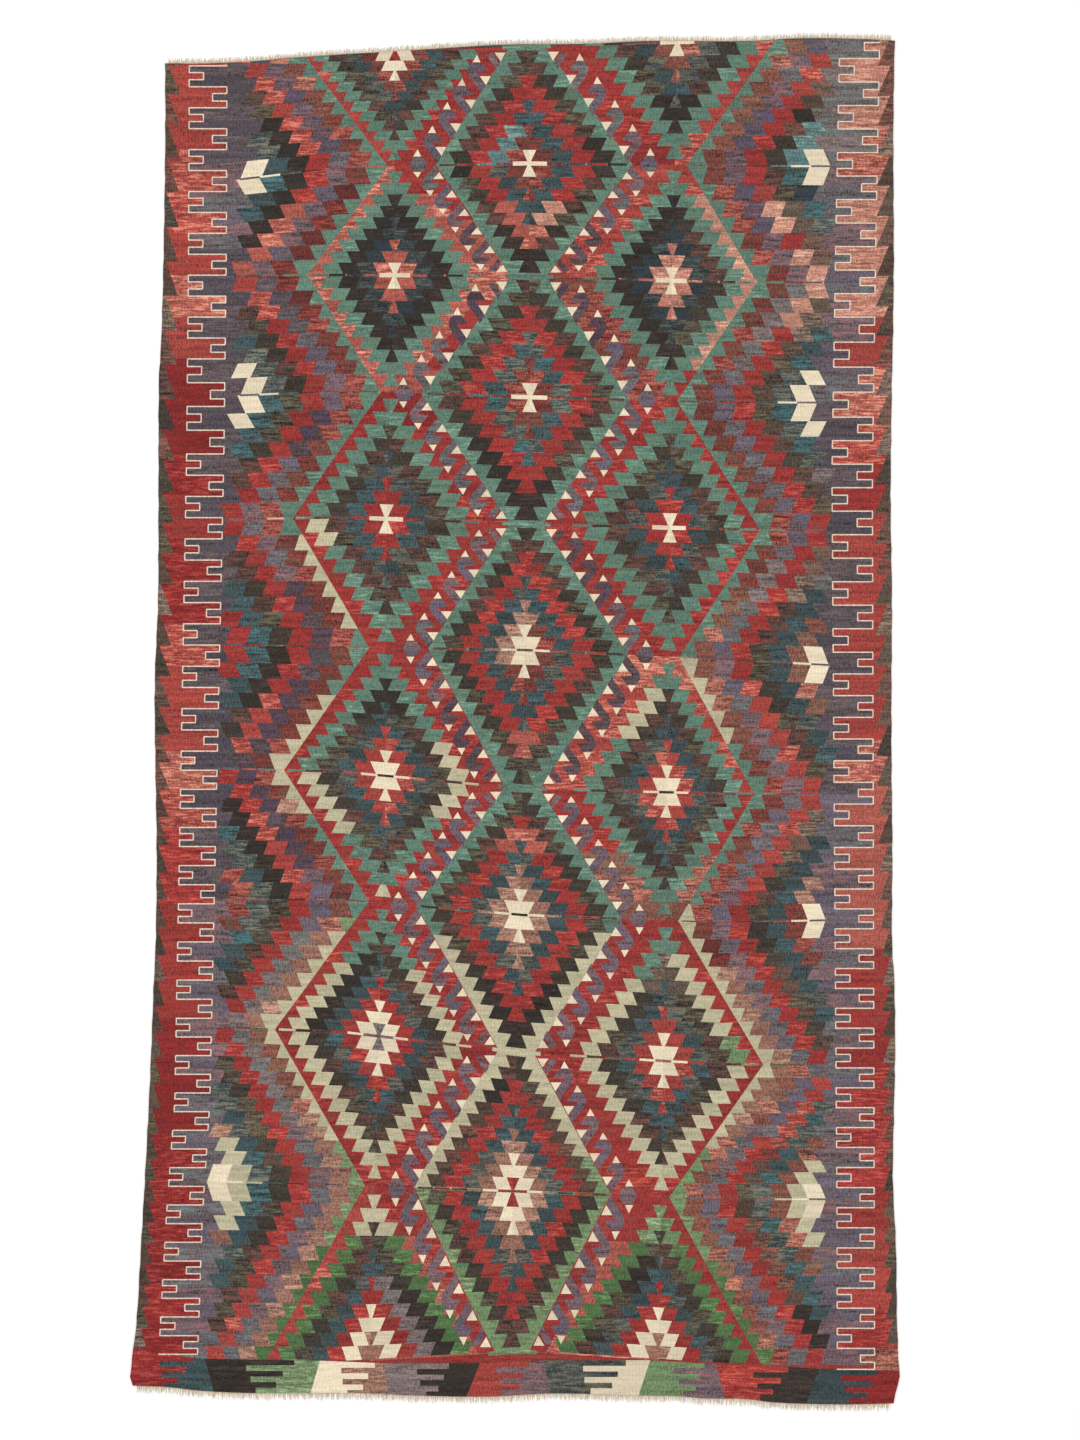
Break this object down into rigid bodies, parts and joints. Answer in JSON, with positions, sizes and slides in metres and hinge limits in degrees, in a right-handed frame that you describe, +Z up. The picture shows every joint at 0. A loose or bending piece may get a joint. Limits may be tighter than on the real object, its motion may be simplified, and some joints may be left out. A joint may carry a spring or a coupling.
{
  "type": "kilim rug",
  "caption": "Flat-woven wool kilim rug lying flat, long and slightly tapered, with stepped diamond medallions, finger borders and short frayed warp ends.",
  "frame": {"origin": "on the floor under the middle of the rug's bounding box", "axes": "+Y along the rug from its foot to its head, +X across it, +Z up through its face"},
  "size_m": [1.6928, 3.0354, 0.003],
  "materials": {
    "dyed_wool_weft": "matte, hard-spun dyed wool, weft-faced",
    "undyed_wool_warp": "matte, undyed wool, frayed"
  },
  "bodies": {
    "root": {"kilim_cloth": "dyed_wool_weft", "fringe_head": "undyed_wool_warp", "fringe_foot": "undyed_wool_warp"}
  },
  "joints": []
}
